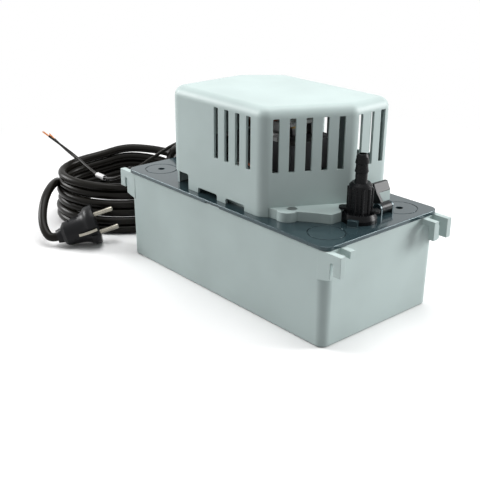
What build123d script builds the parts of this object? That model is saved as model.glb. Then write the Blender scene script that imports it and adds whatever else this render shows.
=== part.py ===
from build123d import *
import os
from math import asin, atan2, cos, degrees, hypot, pi, radians, sin, tan

os.makedirs("parts", exist_ok=True)

# Frame: X along the tank, Y across it, +Z up. The origin is the centre of the tank's base.

# Tank
tank_length = 250.0
tank_width = 127.6
tank_height = 80.0
tank_wall = 2.2
tank_floor = 2.5
tank_corner = 8.5
tank_draft = 0.9
base_edge = 1.5

# Wall ears and inner hooks on both ends of the tank
ear_overhang = 14.0
ear_thickness = 5.0
ear_drop = 16.0
ear_root_drop = 24.0
ear_slot_width = 3.0
ear_slot_depth = 9.6
ear_leg = 7.0
ear_top_gap = 0.5
hook_width = 5.0
hook_bar = 4.5
hook_overhang = 13.0
hook_leg_drop = 15.5
hook_y = 46.5
stub_overhang = 10.0
stub_y = -47.0
stub_drop = 5.5

# Cover
cover_length = 252.0
cover_width = 130.0
cover_thickness = 3.0
cover_corner = 7.8
cover_edge = 0.6
lip_height = 4.0
lip_wall = 1.8
lip_clearance = 0.3
knockout_x = 104.0
knockout_y = 42.0
knockout_radius = 14.4
knockout_groove = 0.9
knockout_groove_depth = 0.8
inlet_hole_radius = 3.0
notch_length = 18.0
notch_x = -2.5
notch_depth = 1.6

# Motor hood: plan corners of the moulded housing
hood_left = -66.0
hood_near = -58.5
hood_far = 50.5
hood_right = 84.8
chamfer_near_x = 49.7
chamfer_right_y = 6.0
back_chamfer_y = 17.0
back_chamfer_x = -38.0
hood_rise = 89.0
hood_top = tank_height + hood_rise
hood_wall = 2.2
hood_corner = 11.0
hood_top_radius = 8.5
slot_width = 5.1
slot_bottom_rise = 38.4
slot_bottom = tank_height + slot_bottom_rise
slot_top_rise = 80.5
slot_top = tank_height + slot_top_rise
slot_pitch = 13.0
window_top_rise = 7.8
window_top = tank_height + window_top_rise
corner_window_top_rise = 16.0
corner_window_top = tank_height + corner_window_top_rise

# Pump plate that the motor stands on
plate_rise = 10.7
plate_top = tank_height + plate_rise
plate_skin = 2.2
plate_clearance = 0.3
plate_screw_x = 64.9
plate_screw_y = -40.0
screw_recess_radius = 4.2
screw_head_radius = 3.6
screw_shank_radius = 1.9
catch_y = 29.9
catch_width = 13.4
catch_front = 98.0
catch_bottom_rise = 8.5
catch_bottom = tank_height + catch_bottom_rise
catch_top_rise = 18.0
catch_top = tank_height + catch_top_rise

# Pump column, volute and impeller on the motor axis
axis_x = 28.0
axis_y = -4.0
column_radius = 20.0
column_wall = 2.5
column_flange_radius = 28.0
flange_thickness = 2.5
gasket_thickness = 1.0
opening_clearance = 0.3
volute_radius = 26.0
volute_wall = 2.0
volute_bottom = 8.0
volute_top = 26.0
suction_eye_radius = 7.5
strainer_posts = 12
strainer_radius = 20.0
post_radius = 1.4
floor_gap = 0.2
impeller_radius = 20.0
impeller_bottom = 10.2
impeller_disc = 2.0
vane_height = 8.0
vane_count = 6
vane_thickness = 1.6

# Motor
shaft_radius = 3.0
shaft_top_rise = 80.5
shaft_top = tank_height + shaft_top_rise
running_clearance = 0.05
bush_radius = 5.0
bush_length = 6.0
bracket_width = 14.0
bracket_metal = 3.0
bracket_inner = 13.0
stack_bottom_rise = 30.5
stack_bottom = tank_height + stack_bottom_rise
stack_height = 25.0
stack_half_width = 25.0
stack_front = 23.0
stack_back = 42.0
stack_bar = 11.0
stack_leg = 8.0
rotor_radius = 14.5
air_gap = 0.5
screw_offset = 20.0
bracket_base_bottom_rise = 18.0
bracket_base_bottom = tank_height + bracket_base_bottom_rise
fan_radius = 30.0
fan_hub_radius = 6.5
fan_height = 9.0
fan_gap = 3.0
blade_count = 7
blade_thickness = 1.2
blade_pitch = 32.0

# Check valve
valve_x = 101.5
valve_y = -3.5
valve_flange_radius = 14.0
valve_flange_top_rise = 10.0
valve_flange_top = tank_height + valve_flange_top_rise
valve_body_radius = 8.9
valve_body_top_rise = 34.0
valve_body_top = tank_height + valve_body_top_rise
valve_wall = 2.0
valve_bore = 3.0
nozzle_radius = 4.7
barb_radius = 5.3
nozzle_top_rise = 56.0
nozzle_top = tank_height + nozzle_top_rise
barb_drops = (13.3, 6.5)
barb_heights = tuple(nozzle_top - drop for drop in barb_drops)
barb_undercut = 1.2
barb_land = 0.6
barb_ramp = 3.4
rib_root = 0.5
wing_reach = 16.3
wing_thickness = 1.8
wing_width = 8.0
rib_count = 10
rib_radius = 1.3
seat_radius = 4.6
ball_radius = 5.6
ball_lift = 5.0
ball_seat_rise = 12.0
ball_seat_z = tank_height + ball_seat_rise

# Discharge pipe and its socket under the cover
pipe_radius = 8.0
pipe_wall = 1.8
pipe_outlet_z = 16.2
pipe_bend = 16.0
outlet_offset = 15.5
o_ring_radius = 0.9

# Latch: a boss on a pin between two cheeks, one arm beside the catch, and a head over it
latch_pivot_x = 103.0
latch_pivot_rise = 7.6
latch_pivot_z = tank_height + latch_pivot_rise
latch_boss_radius = 4.4
latch_boss_width = 11.2
latch_boss_y = 23.2
latch_pin_radius = 1.4
latch_arm = 2.6
latch_arm_reach = 5.0
latch_head_height = 7.0
latch_head_slope = 3.6
latch_gap = 0.3
cheek_thickness = 1.6

# Float gear
float_pivot_x = -28.0
float_pivot_z = 68.0
float_y = -4.0
float_x = -86.0
float_z = 34.0
float_length = 40.0
float_depth = 48.0
float_height = 26.0
float_corner = 6.0
arm_width = 8.0
arm_barrel = 3.6
arm_metal = 3.0
arm_knee = 10.0
float_pin_radius = 1.5
ear_metal = 3.0
rod_x = -42.0
rod_radius = 2.0
rod_gap = 0.3
guide_clearance = 0.1
guide_drop = 1.0
guide_wall = 2.0
crosshead_width = 26.0
crosshead_length = 4.0
crosshead_height = 4.0

# Float switches
switch_pivot_x = -58.0
switch_pivot_rise = 24.0
switch_pivot_z = tank_height + switch_pivot_rise
switch_length = 26.0
switch_width = 7.0
switch_height = 14.0
switch_gap = 1.5
lever_length = 24.0
lever_angle = 18.75
lever_metal = 1.2
lever_width = 5.0
lever_barrel = 1.4
switch_spacing = 16.0
switch_bracket_metal = 2.0

# Leads
mains_radius = 4.25
mains_exit_rise = 16.0
mains_exit = (-2.0, tank_height + mains_exit_rise)
alarm_radius = 1.6
alarm_exit_rise = 25.0
alarm_exit = (8.0, tank_height + alarm_exit_rise)
relief_length = 26.0
relief_collar = 8.0
relief_end = 5.2
relief_flange = 1.4
mains_shank = 6.5
alarm_shank = 3.0
alarm_collar = 4.8
alarm_end = 2.2
alarm_relief_length = 11.0

# Plan points of the pump plate, and its screw boss
plate_points = [
    (-12.0, -53.0), (50.0, -53.0), (60.0, -52.0), (72.5, -42.0), (87.0, -31.5), (94.5, -27.0),
    (95.0, -12.0), (92.0, 12.0), (92.0, 39.0), (84.0, 46.5), (-12.0, 46.5),
]
plate_corner = 2.0
boss_x = 64.5
boss_y = -44.5
boss_radius = 8.5
pocket_radius = 37.0
catch_root = 92.0
stop_offset = (6.9, -14.7)
stop_length = 8.0
stop_width = 3.0
stop_height = 5.0
spigot_length = 12.0
spigot_drop = 11.0
pipe_fit = 0.05
collar_step = 3.0
wing_angle = 27.0
motor_screw_radius = 2.0
motor_screw_head = 2.4
window_x = 4.0
window_length = 14.0
bobbin_gap = 0.3
bobbin_wall = 1.2
coil_span = 30.0
coil_depth = 6.0
bracket_foot = 7.0
bracket_length = 13.0
terminal_x = -44.0
terminal_y = 16.0
terminal_length = 20.0
terminal_width = 14.0
terminal_height = 14.0
slot_corner = 0.8
windows = [(-80.0, -42.0, corner_window_top), (-29.0, -4.0, window_top), (7.0, 30.0, window_top)]
window_corner = 2.0
window_depth = 6.0
vent_depth = 5.6
near_first = 15.6
middle_first = 10.8
right_first = 5.4
far_first = 20.0
back_first = 15.0

# Free leads: routes, coil and plug
mains_route = [(-117.0, -2.0, 96.0), (-141.0, -11.0, 87.0), (-160.0, -25.0, 69.0), (-175.0, -39.0, 48.0)]
tail_route = [(-235.0, -75.5, 47.5), (-225.0, -95.0, 42.0), (-213.5, -112.0, 30.0), (-201.0, -123.5, 18.5),
              (-192.0, -124.0, 9.8)]
tail_elbow = 10.5
alarm_route = [(-98.0, 8.0, 105.0), (-119.0, 6.0, 103.5), (-139.0, 0.0, 96.0), (-156.0, -9.0, 84.0),
               (-172.0, -27.0, 66.0), (-190.0, -43.0, 54.5), (-214.0, -48.0, 52.5), (-241.0, -45.0, 52.8),
               (-265.0, -42.5, 56.0), (-287.0, -46.0, 65.0), (-305.0, -52.0, 75.0)]
coil_x = -213.0
coil_y = -15.5
coil_turn = 49.9
coil_long = 67.3
coil_short = 50.3
coil_band = 17.0
coil_height = 50.0
coil_round = 5.0
plug_face = Vector(-165.0, -77.0, 20.3)
plug_axis = Vector(0.44, 0.85, 0.27).normalized()
plug_length = 36.0
plug_radius = 19.5
plug_rim = 5.0
plug_waist = 12.0
plug_neck = 6.2
clip_depth = 3.5
clip_width = 8.0
clip_metal = 0.8
clip_length = 22.0
pin_spacing = 19.0
pin_radius = 2.4
pin_length = 19.0
core_offset = 1.0
core_radius = 0.6
core_length = 9.0


def save(piece, name):
    piece.label = name
    export_step(piece, f"parts/{name}.step")
    print(name, round(piece.volume), "mm3")


# --- Tank: drafted bin with hanging ears and inner hooks
cover_top = tank_height + cover_thickness
rim_x = tank_length / 2
rim_y = tank_width / 2
ear_top = tank_height - ear_top_gap
ear_reach = rim_x + ear_overhang
ear_slot_out = ear_reach - ear_leg
ear_slot_in = ear_slot_out - ear_slot_width
ear_root_x = rim_x - tank_corner

with BuildPart() as tank:
    with BuildSketch(Plane.XY.offset(tank_height)):
        RectangleRounded(tank_length, tank_width, tank_corner)
    extrude(amount=-tank_height, taper=tank_draft)
    fillet(tank.edges().group_by(Axis.Z)[0], base_edge)
    for side in (1, -1):
        ear_plane = Plane((0, side * rim_y, 0), x_dir=(side, 0, 0), z_dir=(0, -side, 0))
        with BuildSketch(ear_plane):
            for end in (1, -1):
                with BuildLine():
                    Polyline(
                        (end * ear_root_x, ear_top),
                        (end * ear_reach, ear_top),
                        (end * ear_reach, ear_top - ear_drop),
                        (end * ear_slot_in, ear_top - ear_drop),
                        (end * ear_slot_in, ear_top - ear_root_drop + ear_slot_width),
                        (end * ear_root_x, ear_top - ear_root_drop),
                        close=True,
                    )
                make_face()
                slot_x = end * (ear_slot_in + ear_slot_width / 2)
                slot_z = ear_top - ear_slot_depth + ear_slot_width / 2
                with Locations((slot_x, slot_z)):
                    Circle(ear_slot_width / 2, mode=Mode.SUBTRACT)
                with Locations((slot_x, slot_z - ear_drop / 2)):
                    Rectangle(ear_slot_width, ear_drop, mode=Mode.SUBTRACT)
        extrude(amount=ear_thickness)
    for y, overhang, drop in ((stub_y, stub_overhang, stub_drop), (hook_y, hook_overhang, hook_leg_drop)):
        reach = rim_x + overhang
        with BuildSketch(Plane((0, y - hook_width / 2, 0), x_dir=(1, 0, 0), z_dir=(0, -1, 0))):
            for end in (1, -1):
                with BuildLine():
                    Polyline(
                        (end * (rim_x - tank_wall), ear_top),
                        (end * reach, ear_top),
                        (end * reach, ear_top - drop),
                        (end * (reach - hook_width), ear_top - drop),
                        (end * (reach - hook_width), ear_top - hook_bar),
                        (end * (rim_x - tank_wall), ear_top - hook_bar),
                        close=True,
                    )
                make_face()
        extrude(amount=-hook_width)
    with BuildSketch(Plane.XY.offset(tank_height)):
        RectangleRounded(tank_length - 2 * tank_wall, tank_width - 2 * tank_wall, tank_corner - tank_wall)
    extrude(amount=-(tank_height - tank_floor), taper=tank_draft, mode=Mode.SUBTRACT)
save(tank.part, "tank")

# --- Cover: flat lid with a locating lip, knock-outs, latch cheeks, float ears and the valve's stop
opening_radius = column_radius + opening_clearance
knockouts = [(x, y) for x in (knockout_x, -knockout_x) for y in (knockout_y, -knockout_y)]
inlets = [spot for spot in knockouts if spot != (knockout_x, -knockout_y)]
ear_inner = arm_width / 2 + running_clearance + latch_gap
socket_radius = pipe_radius + pipe_wall
cheek_inner = latch_boss_width / 2 + latch_gap
lip_length = tank_length - 2 * (tank_wall + lip_clearance)
lip_width = tank_width - 2 * (tank_wall + lip_clearance)
lip_corner = tank_corner - tank_wall - lip_clearance

with BuildPart() as tank_cover:
    with BuildSketch(Plane.XY.offset(tank_height)):
        RectangleRounded(cover_length, cover_width, cover_corner)
    extrude(amount=cover_thickness)
    fillet(tank_cover.edges().group_by(Axis.Z)[-1], cover_edge)
    with BuildSketch(Plane.XY.offset(tank_height)):
        RectangleRounded(lip_length, lip_width, lip_corner)
        RectangleRounded(
            lip_length - 2 * lip_wall, lip_width - 2 * lip_wall, lip_corner - lip_wall, mode=Mode.SUBTRACT
        )
    extrude(amount=-lip_height, taper=tank_draft)
    with BuildSketch(Plane.XY.offset(cover_top)):
        with Locations(*knockouts):
            Circle(knockout_radius + knockout_groove / 2)
            Circle(knockout_radius - knockout_groove / 2, mode=Mode.SUBTRACT)
    extrude(amount=-knockout_groove_depth, mode=Mode.SUBTRACT)
    with BuildSketch(Plane.XY.offset(cover_top)):
        with Locations(*inlets):
            Circle(inlet_hole_radius)
        with Locations((axis_x, axis_y)):
            Circle(opening_radius)
        with Locations((valve_x, valve_y)):
            Circle(socket_radius + opening_clearance)
        with Locations((rod_x, float_y)):
            Circle(rod_radius + guide_clearance)
        with Locations((plate_screw_x, plate_screw_y)):
            Circle(screw_shank_radius)
    extrude(amount=-cover_thickness, mode=Mode.SUBTRACT)
    with BuildSketch(Plane.XY.offset(tank_height)):
        with Locations((notch_x, -cover_width / 2)):
            Rectangle(notch_length, cover_width - tank_width)
    extrude(amount=notch_depth, mode=Mode.SUBTRACT)
    with BuildSketch(Plane.XY.offset(tank_height)):
        with Locations((rod_x, float_y)):
            Circle(rod_radius + guide_wall)
            Circle(rod_radius + guide_clearance, mode=Mode.SUBTRACT)
    extrude(amount=-guide_drop)
    for side in (1, -1):
        ear_face = Plane(
            (float_pivot_x, float_y + side * ear_inner, 0), x_dir=(side, 0, 0), z_dir=(0, -side, 0)
        )
        with BuildSketch(ear_face):
            with BuildLine():
                Polyline(
                    (-2 * arm_barrel, tank_height),
                    (2 * arm_barrel, tank_height),
                    (arm_barrel, float_pivot_z),
                    (-arm_barrel, float_pivot_z),
                    close=True,
                )
            make_face()
            with Locations((0, float_pivot_z)):
                Circle(arm_barrel)
                Circle(float_pin_radius, mode=Mode.SUBTRACT)
        extrude(amount=-ear_metal)
        cheek_face = Plane(
            (latch_pivot_x, latch_boss_y + side * cheek_inner, 0), x_dir=(side, 0, 0), z_dir=(0, -side, 0)
        )
        with BuildSketch(cheek_face):
            with Locations((0, (cover_top + latch_pivot_z) / 2)):
                Rectangle(2 * latch_boss_radius, latch_pivot_z - cover_top)
            with Locations((0, latch_pivot_z)):
                Circle(latch_boss_radius)
                Circle(latch_pin_radius, mode=Mode.SUBTRACT)
        extrude(amount=-cheek_thickness)
    with BuildSketch(Plane.XY.offset(cover_top)):
        with Locations((valve_x + stop_offset[0], valve_y + stop_offset[1])):
            Rectangle(stop_length, stop_width, rotation=25)
    extrude(amount=stop_height)
save(tank_cover.part, "tank_cover")

# --- Pump plate: tray that carries the motor, with the screw boss and the latch catch
plate_flange_z = cover_top + gasket_thickness + flange_thickness
valve_notch = valve_flange_radius + plate_clearance

with BuildSketch() as plate_plan:
    with BuildLine():
        Polyline(*plate_points, close=True)
    make_face()
    fillet(plate_plan.vertices(), plate_corner)
    with Locations((boss_x, boss_y)):
        Circle(boss_radius)
    with Locations((valve_x, valve_y)):
        Circle(valve_notch, mode=Mode.SUBTRACT)

with BuildPart() as pump_plate:
    with BuildSketch(Plane.XY.offset(cover_top)):
        add(plate_plan.sketch)
    extrude(amount=plate_top - cover_top)
    with BuildSketch(Plane.XY.offset(cover_top)):
        with Locations((axis_x, axis_y)):
            Circle(pocket_radius)
            Circle(column_flange_radius + plate_clearance, mode=Mode.SUBTRACT)
    extrude(amount=plate_top - plate_skin - cover_top, mode=Mode.SUBTRACT)
    with BuildSketch(Plane.XY.offset(cover_top)):
        with Locations((axis_x, axis_y)):
            Circle(column_flange_radius + plate_clearance)
    extrude(amount=plate_flange_z - cover_top, mode=Mode.SUBTRACT)
    with BuildSketch(Plane.XY.offset(plate_top)):
        with Locations((axis_x, axis_y)):
            Rectangle(bracket_width + 2 * plate_skin, 2 * bracket_inner)
    extrude(amount=bracket_base_bottom - plate_top)
    with BuildSketch(Plane.XY.offset(bracket_base_bottom)):
        with Locations((axis_x, axis_y)):
            Circle(shaft_radius + 1)
    extrude(amount=-(bracket_base_bottom - cover_top), mode=Mode.SUBTRACT)
    with BuildSketch(Plane((0, catch_y + catch_width / 2, 0), x_dir=(1, 0, 0), z_dir=(0, -1, 0))):
        with BuildLine():
            Polyline(
                (hood_right + plate_clearance, cover_top),
                (catch_root, cover_top),
                (catch_root, catch_bottom),
                (catch_front, catch_bottom),
                (catch_front, catch_top),
                (catch_root - hood_wall, catch_top),
                (hood_right + plate_clearance, plate_top),
                close=True,
            )
        make_face()
    extrude(amount=catch_width)
    with Locations((plate_screw_x, plate_screw_y, plate_top)):
        CounterBoreHole(screw_shank_radius + plate_clearance, screw_recess_radius, plate_skin)
save(pump_plate.part, "pump_plate")

with BuildPart() as pump_gasket:
    with BuildSketch(Plane.XY.offset(cover_top)):
        with Locations((axis_x, axis_y)):
            Circle(column_flange_radius)
            Circle(opening_radius, mode=Mode.SUBTRACT)
    extrude(amount=gasket_thickness)
save(pump_gasket.part, "pump_gasket")

# --- Pump column with its flange clamped between the gasket and the plate
with BuildPart() as pump_column:
    with BuildSketch(Plane.XY.offset(volute_top)):
        with Locations((axis_x, axis_y)):
            Circle(column_radius)
            Circle(column_radius - column_wall, mode=Mode.SUBTRACT)
    extrude(amount=plate_flange_z - volute_top)
    with BuildSketch(Plane.XY.offset(cover_top + gasket_thickness)):
        with Locations((axis_x, axis_y)):
            Circle(column_flange_radius)
            Circle(column_radius - column_wall, mode=Mode.SUBTRACT)
    extrude(amount=flange_thickness)
    for turn in (0, 90):
        with BuildSketch(Plane((axis_x, axis_y, 0)).rotated((0, 0, turn)) * Plane.XZ):
            with Locations((0, (volute_top + tank_height) / 2)):
                SlotCenterToCenter((tank_height - volute_top) / 2, column_radius / 2, rotation=90)
        extrude(amount=2 * column_radius, both=True, mode=Mode.SUBTRACT)
save(pump_column.part, "pump_column")

# --- Volute with a tangential outlet that points at the valve
reach = hypot(valve_x - axis_x, valve_y - axis_y)
outlet_angle = degrees(atan2(valve_y - axis_y, valve_x - axis_x) + asin(outlet_offset / reach))
outlet_run = (reach**2 - outlet_offset**2) ** 0.5
outlet_x = valve_x - outlet_run * cos(radians(outlet_angle))
outlet_y = valve_y - outlet_run * sin(radians(outlet_angle))
outlet_dir = Vector(cos(radians(outlet_angle)), sin(radians(outlet_angle)), 0)
outlet_cross = Plane((outlet_x, outlet_y, pipe_outlet_z), x_dir=(0, 0, 1), z_dir=outlet_dir)
spigot_end = volute_radius + spigot_length

with BuildPart() as volute_casing:
    with BuildSketch(Plane.XY.offset(volute_bottom)):
        with Locations((axis_x, axis_y)):
            Circle(volute_radius)
    extrude(amount=volute_top - volute_bottom)
    with BuildSketch(outlet_cross):
        Circle(pipe_radius - pipe_fit)
    extrude(amount=spigot_end)
    with BuildSketch(Plane.XY.offset(volute_bottom)):
        with Locations((axis_x, axis_y)):
            Circle(volute_radius - volute_wall)
    extrude(amount=volute_top - volute_wall - volute_bottom, mode=Mode.SUBTRACT)
    with BuildSketch(outlet_cross):
        Circle(pipe_radius - pipe_fit - pipe_wall)
    extrude(amount=spigot_end, mode=Mode.SUBTRACT)
    with Locations((axis_x, axis_y, volute_top)):
        Hole(shaft_radius + air_gap)
save(volute_casing.part, "volute_casing")

with BuildPart() as volute_cover:
    with BuildSketch(Plane.XY.offset(volute_bottom - volute_wall)):
        with Locations((axis_x, axis_y)):
            Circle(volute_radius)
            Circle(suction_eye_radius, mode=Mode.SUBTRACT)
    extrude(amount=volute_wall)
    with BuildSketch(Plane.XY.offset(tank_floor + floor_gap)):
        with Locations((axis_x, axis_y)):
            with PolarLocations(strainer_radius, strainer_posts):
                Circle(post_radius)
    extrude(amount=volute_bottom - volute_wall - tank_floor - floor_gap)
save(volute_cover.part, "volute_cover")

with BuildPart() as impeller:
    with BuildSketch(Plane.XY.offset(impeller_bottom)):
        with Locations((axis_x, axis_y)):
            Circle(impeller_radius)
    extrude(amount=impeller_disc)
    with BuildSketch(Plane.XY.offset(impeller_bottom)):
        with Locations((axis_x, axis_y)):
            Circle(2 * shaft_radius)
    extrude(amount=impeller_disc + vane_height)
    for number in range(vane_count):
        vane_plane = Plane((axis_x, axis_y, impeller_bottom + impeller_disc))
        with BuildSketch(vane_plane.rotated((0, 0, number * 360 / vane_count))):
            with BuildLine():
                ThreePointArc(
                    (1.5 * shaft_radius, 0),
                    (impeller_radius * 0.62, impeller_radius * 0.12),
                    (impeller_radius * 0.85, impeller_radius * 0.36),
                )
            trace(line_width=vane_thickness)
        extrude(amount=vane_height)
    with Locations((axis_x, axis_y, impeller_bottom + impeller_disc + vane_height)):
        Hole(shaft_radius)
save(impeller.part, "impeller")

# --- Motor on the same axis
def disc(bottom, top, radius, bore=0.0):
    """Ring or disc round the motor axis."""
    with BuildPart() as ring:
        with BuildSketch(Plane.XY.offset(bottom)):
            with Locations((axis_x, axis_y)):
                Circle(radius)
                if bore:
                    Circle(bore, mode=Mode.SUBTRACT)
        extrude(amount=top - bottom)
    return ring.part


stack_top = stack_bottom + stack_height
upper_base_top = stack_top + stack_bottom - bracket_base_bottom
save(disc(impeller_bottom, shaft_top, shaft_radius), "motor_shaft")
save(disc(stack_bottom, stack_top, rotor_radius, shaft_radius), "rotor_core")

with BuildPart() as stator_stack:
    with BuildSketch(Plane.XY.offset(stack_bottom)):
        with Locations((axis_x + (stack_front - stack_back) / 2, axis_y)):
            Rectangle(stack_front + stack_back, 2 * stack_half_width)
        with Locations((axis_x, axis_y)):
            Circle(rotor_radius + air_gap, mode=Mode.SUBTRACT)
            with Locations((0, screw_offset), (0, -screw_offset)):
                Circle(motor_screw_radius, mode=Mode.SUBTRACT)
        with Locations((window_x, axis_y)):
            Rectangle(window_length, 2 * (stack_half_width - stack_leg), mode=Mode.SUBTRACT)
    extrude(amount=stack_height)
save(stator_stack.part, "stator_stack")


def coil_ring(name, inner_gap, thickness, span):
    """Rectangular ring wound round the stack's back bar."""
    bar_x = axis_x - stack_back + stack_bar / 2
    with BuildPart() as ring:
        with BuildSketch(Plane.XZ.offset(-(axis_y + span / 2))):
            with Locations((bar_x, stack_bottom + stack_height / 2)):
                Rectangle(stack_bar + 2 * (inner_gap + thickness), stack_height + 2 * (inner_gap + thickness))
                Rectangle(stack_bar + 2 * inner_gap, stack_height + 2 * inner_gap, mode=Mode.SUBTRACT)
        extrude(amount=span)
    save(ring.part, name)


coil_ring("coil_bobbin", bobbin_gap, bobbin_wall, coil_span)
coil_ring("stator_windings", bobbin_gap + bobbin_wall, coil_depth, coil_span - 2 * bobbin_wall)


def bridge(name, flange_z, base_z):
    """Bent strip that spans the stack and holds a bush."""
    outward = 1 if base_z > flange_z else -1
    with BuildPart() as strip:
        with BuildSketch(Plane.YZ.offset(axis_x - bracket_width / 2)):
            with BuildLine():
                Polyline(
                    (axis_y - stack_half_width, flange_z),
                    (axis_y - bracket_inner, flange_z),
                    (axis_y - bracket_inner, base_z),
                    (axis_y + bracket_inner, base_z),
                    (axis_y + bracket_inner, flange_z),
                    (axis_y + stack_half_width, flange_z),
                    (axis_y + stack_half_width, flange_z + outward * bracket_metal),
                    (axis_y + bracket_inner + bracket_metal, flange_z + outward * bracket_metal),
                    (axis_y + bracket_inner + bracket_metal, base_z + outward * bracket_metal),
                    (axis_y - bracket_inner - bracket_metal, base_z + outward * bracket_metal),
                    (axis_y - bracket_inner - bracket_metal, flange_z + outward * bracket_metal),
                    (axis_y - stack_half_width, flange_z + outward * bracket_metal),
                    close=True,
                )
            make_face()
        extrude(amount=bracket_width)
        with BuildSketch(Plane.XY.offset(min(flange_z, base_z) - bracket_metal)):
            with Locations((axis_x, axis_y)):
                Circle(bush_radius)
                with Locations((0, screw_offset), (0, -screw_offset)):
                    Circle(motor_screw_radius)
        extrude(amount=abs(base_z - flange_z) + 2 * bracket_metal, mode=Mode.SUBTRACT)
    save(strip.part, name)


lower_base_z = bracket_base_bottom + bracket_metal
upper_base_z = stack_top + stack_bottom - lower_base_z
bridge("lower_bridge", stack_bottom, lower_base_z)
bridge("upper_bridge", stack_top, upper_base_z)
save(
    disc(bracket_base_bottom, bracket_base_bottom + bush_length, bush_radius, shaft_radius + running_clearance),
    "lower_bush",
)
save(
    disc(
        upper_base_z + bracket_metal - bush_length,
        upper_base_z + bracket_metal,
        bush_radius,
        shaft_radius + running_clearance,
    ),
    "upper_bush",
)

with BuildPart() as motor_screws:
    screw_head_z = stack_top + bracket_metal
    with BuildSketch(Plane.XY.offset(stack_bottom - bracket_metal)):
        with Locations((axis_x, axis_y + screw_offset), (axis_x, axis_y - screw_offset)):
            Circle(motor_screw_radius)
    extrude(amount=stack_height + 2 * bracket_metal)
    with BuildSketch(Plane.XY.offset(screw_head_z)):
        with Locations((axis_x, axis_y + screw_offset), (axis_x, axis_y - screw_offset)):
            Circle(screw_head_radius)
    extrude(amount=motor_screw_head)
save(motor_screws.part, "motor_screws")

fan_bottom = upper_base_z + bracket_metal + fan_gap
with BuildPart() as cooling_fan:
    with BuildSketch(Plane.XY.offset(fan_bottom)):
        with Locations((axis_x, axis_y)):
            Circle(fan_hub_radius)
    extrude(amount=fan_height)
    blade_middle = (fan_radius + fan_hub_radius) / 2 - 1
    blade_length = fan_radius - fan_hub_radius + 2
    with Locations((axis_x, axis_y, fan_bottom + fan_height / 2)):
        with PolarLocations(blade_middle, blade_count):
            Box(blade_length, blade_thickness, fan_height, rotation=(blade_pitch, 0, 0))
    with Locations((axis_x, axis_y, fan_bottom + fan_height)):
        Hole(shaft_radius)
save(cooling_fan.part, "cooling_fan")

# --- Discharge pipe from the volute's spigot up to the cover
pipe_plane = Plane((outlet_x, outlet_y, 0), x_dir=outlet_dir, z_dir=outlet_dir.cross(Vector(0, 0, 1)))
with BuildPart() as discharge_pipe:
    with BuildLine(pipe_plane) as pipe_path:
        FilletPolyline(
            (volute_radius + pipe_wall, pipe_outlet_z),
            (outlet_run, pipe_outlet_z),
            (outlet_run, cover_top),
            radius=pipe_bend,
        )
    with BuildSketch(Plane(pipe_path.line @ 0, z_dir=outlet_dir)):
        Circle(socket_radius)
    sweep()
    with BuildSketch(Plane.XY.offset(tank_height)):
        with Locations((valve_x, valve_y)):
            Circle(socket_radius + collar_step)
    extrude(amount=-collar_step)
    with BuildSketch(Plane(pipe_path.line @ 0, z_dir=outlet_dir)):
        Circle(pipe_radius)
    sweep(path=pipe_path.line, mode=Mode.SUBTRACT)
save(discharge_pipe.part, "discharge_pipe")

# --- Check valve: bayonet body with a barbed nozzle, a ball and an O-ring
spigot_radius = pipe_radius - pipe_fit
spigot_bottom = cover_top - spigot_drop
groove_z = spigot_bottom + 2.5 * o_ring_radius
chamber_radius = valve_body_radius - valve_wall
chamber_top = valve_body_top - 3 * valve_wall
ball_centre_z = ball_seat_z + (ball_radius**2 - seat_radius**2) ** 0.5 + running_clearance
valve_axis = Axis((valve_x, valve_y, 0), (0, 0, 1))
valve_section = Plane((valve_x, valve_y, 0), x_dir=(1, 0, 0), z_dir=(0, -1, 0))


def barb(z):
    """Saw-tooth of the hose nozzle with its sharp edge at height z."""
    return [
        (nozzle_radius, z - barb_undercut),
        (barb_radius, z - barb_land),
        (barb_radius, z),
        (nozzle_radius, z + barb_ramp),
    ]


with BuildPart() as check_valve:
    with BuildSketch(valve_section):
        with BuildLine():
            Polyline(
                (seat_radius, spigot_bottom),
                (spigot_radius, spigot_bottom),
                (spigot_radius, groove_z - 1.1 * o_ring_radius),
                (spigot_radius - 2 * o_ring_radius, groove_z - 1.1 * o_ring_radius),
                (spigot_radius - 2 * o_ring_radius, groove_z + 1.1 * o_ring_radius),
                (spigot_radius, groove_z + 1.1 * o_ring_radius),
                (spigot_radius, cover_top),
                (valve_flange_radius, cover_top),
                (valve_flange_radius, valve_flange_top - 2 * valve_wall),
                (valve_flange_radius - valve_wall, valve_flange_top),
                (valve_body_radius, valve_flange_top),
                (valve_body_radius, valve_body_top - valve_wall),
                (valve_body_radius - valve_wall, valve_body_top),
                (barb_radius, valve_body_top),
                (nozzle_radius, valve_body_top + valve_wall),
                *[point for z in barb_heights for point in barb(z)],
                (nozzle_radius, nozzle_top - valve_wall),
                (nozzle_radius - 0.5 * valve_wall, nozzle_top),
                (valve_bore, nozzle_top),
                (valve_bore, chamber_top + valve_bore),
                (chamber_radius, chamber_top),
                (chamber_radius, ball_seat_z),
                (seat_radius, ball_seat_z),
                close=True,
            )
        make_face()
    revolve(axis=valve_axis)
    with BuildSketch(Plane.XY.offset(valve_flange_top)):
        with Locations((valve_x, valve_y)):
            with PolarLocations(valve_body_radius, rib_count):
                Circle(rib_radius)
            Circle(chamber_radius + rib_root, mode=Mode.SUBTRACT)
    extrude(amount=valve_body_top - 2 * valve_wall - valve_flange_top)
    with BuildSketch(Plane.XY.offset(plate_top + plate_clearance)):
        with Locations(Location((valve_x, valve_y, 0), wing_angle)):
            SlotOverall(2 * wing_reach, wing_width)
            Circle(chamber_radius + rib_root, mode=Mode.SUBTRACT)
    extrude(amount=wing_thickness)
save(check_valve.part, "check_valve")

with BuildPart() as valve_o_ring:
    with BuildSketch(valve_section):
        with Locations((spigot_radius - o_ring_radius, groove_z)):
            Circle(o_ring_radius)
    revolve(axis=valve_axis)
save(valve_o_ring.part, "valve_o_ring")

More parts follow.
